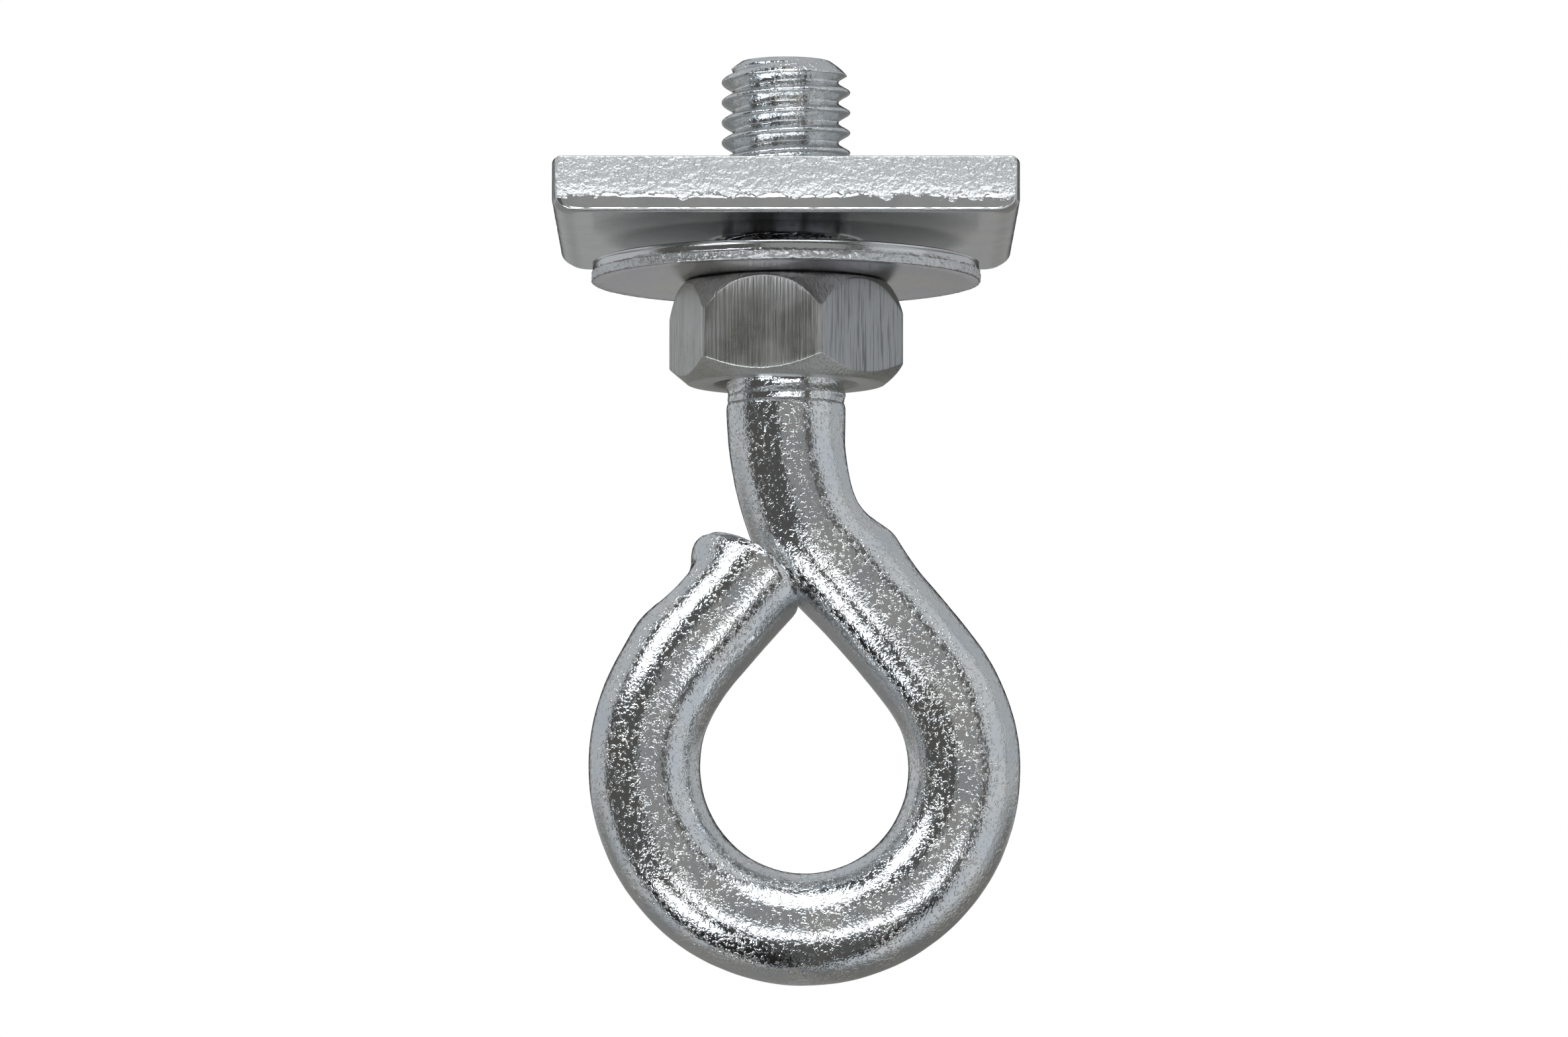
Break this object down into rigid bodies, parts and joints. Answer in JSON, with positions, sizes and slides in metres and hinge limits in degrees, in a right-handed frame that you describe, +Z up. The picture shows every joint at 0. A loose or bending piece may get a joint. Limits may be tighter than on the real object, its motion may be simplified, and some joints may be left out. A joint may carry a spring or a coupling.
{
  "type": "rail eye bolt",
  "caption": "Closed steel eye on a threaded shank, with a square sliding plate, a wide washer and a hexagon nut that clamp a rail's lips.",
  "frame": {"origin": "on the bolt's axis at the plate's underside, the plane that rests on the rail's lips", "axes": "+Z up along the thread, the eye hangs below in the XZ plane, +X to the side that the neck bends to"},
  "size_m": [0.0285, 0.0288, 0.0569],
  "materials": {
    "plate_steel": "bright zinc plate, smooth faces and grainy sheared edges",
    "bolt_steel": "bright zinc plate over a slightly pebbled drawn rod",
    "washer_steel": "bright zinc plate with faint passivation tints",
    "nut_steel": "zinc plate, duller, with vertical draw marks on the flats"
  },
  "bodies": {
    "plate": {"rail_plate": "plate_steel"},
    "bolt": {"eye_bolt": "bolt_steel"},
    "washer": {"flat_washer": "washer_steel"},
    "nut": {"hex_nut": "nut_steel"}
  },
  "joints": [
    {"name": "eye_swivel", "type": "hinge", "parent": "plate", "child": "bolt", "pos_m": [0, 0, 0], "axis": [0, 0, 1], "range_deg": [-180, 180]},
    {"name": "washer_travel", "type": "slide", "parent": "bolt", "child": "washer", "axis": [0, 0, 1], "range_m": [-0.00094, 0.00125]},
    {"name": "nut_turn", "type": "hinge", "parent": "washer", "child": "nut", "pos_m": [0, 0, -0.0057], "axis": [0, 0, 1], "range_deg": [-270, 360]}
  ],
  "couplings": [
    {"joint": "washer_travel", "follows": "nut_turn", "m_per_rad": 0.00019894}
  ]
}
